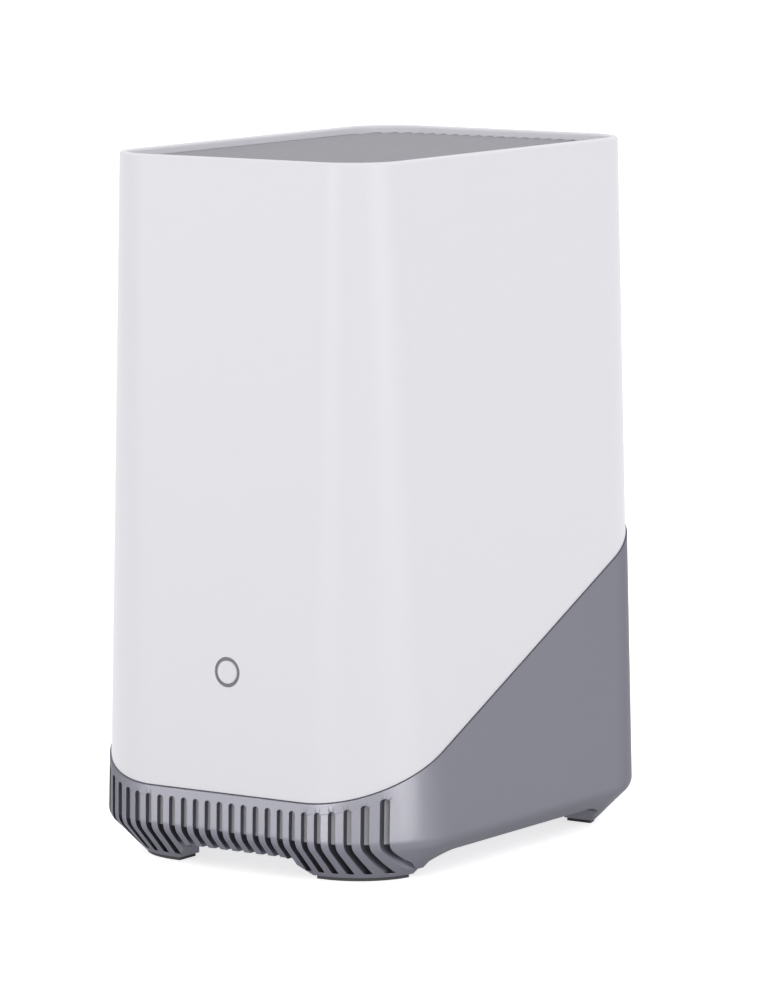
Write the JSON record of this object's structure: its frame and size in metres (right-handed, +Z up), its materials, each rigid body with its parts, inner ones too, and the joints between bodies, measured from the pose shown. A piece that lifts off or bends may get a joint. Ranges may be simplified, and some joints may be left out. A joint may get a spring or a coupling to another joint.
{
  "type": "security camera base station",
  "caption": "Tapered upright base station for wireless cameras: white sleeve over a grey vented foot, ribbed top, lit front button, rear ports and a pull-out drive tray.",
  "frame": {"origin": "on the ground under the centre of the body", "axes": "+Z up, -Y towards the front with the lit button, +X to the right as seen from behind the front"},
  "size_m": [0.1134, 0.153, 0.206],
  "materials": {
    "sleeve_white": "fine satin moulding",
    "housing_grey": "fine spark-eroded grain",
    "panel_grey": "satin, reeded",
    "pad_rubber": "matt",
    "button_white": "semi-gloss",
    "ring_smoke": "smoked, semi-gloss",
    "black_plastic": "matt",
    "frame_plastic": "matt",
    "board_green": "solder mask",
    "sheet_steel": "zinc plated",
    "screw_steel": "nickel plated",
    "sink_aluminium": "natural",
    "drive_aluminium": "cast and machined",
    "contact_gold": "gold plated",
    "light_lens": "clear",
    "magnet_ferrite": "ground",
    "cone_paper": "pressed"
  },
  "bodies": {
    "base": {"outer_sleeve": "sleeve_white", "top_panel": "panel_grey", "lower_housing": "housing_grey", "foot_pads": "pad_rubber", "vent_baffle": "housing_grey", "button_ring": "ring_smoke", "front_switch": "black_plastic", "front_board": "board_green", "front_board_screws": "screw_steel", "ring_lights": "light_lens", "rear_switch": "black_plastic", "rear_board": "board_green", "drive_cage": "sheet_steel", "cage_screws": "screw_steel", "drive_connector": "black_plastic", "core_frame": "frame_plastic", "frame_screws": "screw_steel", "main_board": "board_green", "board_screws": "screw_steel", "processor": "black_plastic", "heat_sink": "sink_aluminium", "shield_can": "sheet_steel", "capacitors": "drive_aluminium", "antennas": "board_green", "dc_socket": "black_plastic", "dc_pin": "contact_gold", "usb_socket": "sheet_steel", "usb_tongue": "black_plastic", "network_socket": "black_plastic", "network_contacts": "contact_gold", "speaker_basket": "frame_plastic", "speaker_cone": "cone_paper", "speaker_magnet": "magnet_ferrite", "speaker_screws": "screw_steel"},
    "front_button": {"front_button": "button_white", "front_plunger": "black_plastic"},
    "rear_button": {"rear_button": "housing_grey", "rear_plunger": "black_plastic"},
    "drive_tray": {"drive_tray": "housing_grey", "storage_drive": "drive_aluminium", "drive_screws": "screw_steel", "handle_pin": "screw_steel"},
    "tray_handle": {"tray_handle": "housing_grey"}
  },
  "joints": [
    {"name": "front_press", "type": "slide", "parent": "base", "child": "front_button", "axis": [0, 1, 0], "range_m": [0, 0.0008], "stiffness_N_per_m": 900, "springref_m": -0.0004},
    {"name": "rear_press", "type": "slide", "parent": "base", "child": "rear_button", "axis": [0, -1, 0], "range_m": [0, 0.0008], "stiffness_N_per_m": 900, "springref_m": -0.0004},
    {"name": "tray_slide", "type": "slide", "parent": "base", "child": "drive_tray", "axis": [0, 1, 0], "range_m": [0, 0.09]},
    {"name": "handle_fold", "type": "hinge", "parent": "drive_tray", "child": "tray_handle", "pos_m": [0.0172, 0.07436, 0.032], "axis": [0, 0, -1], "range_deg": [0, 75]}
  ]
}
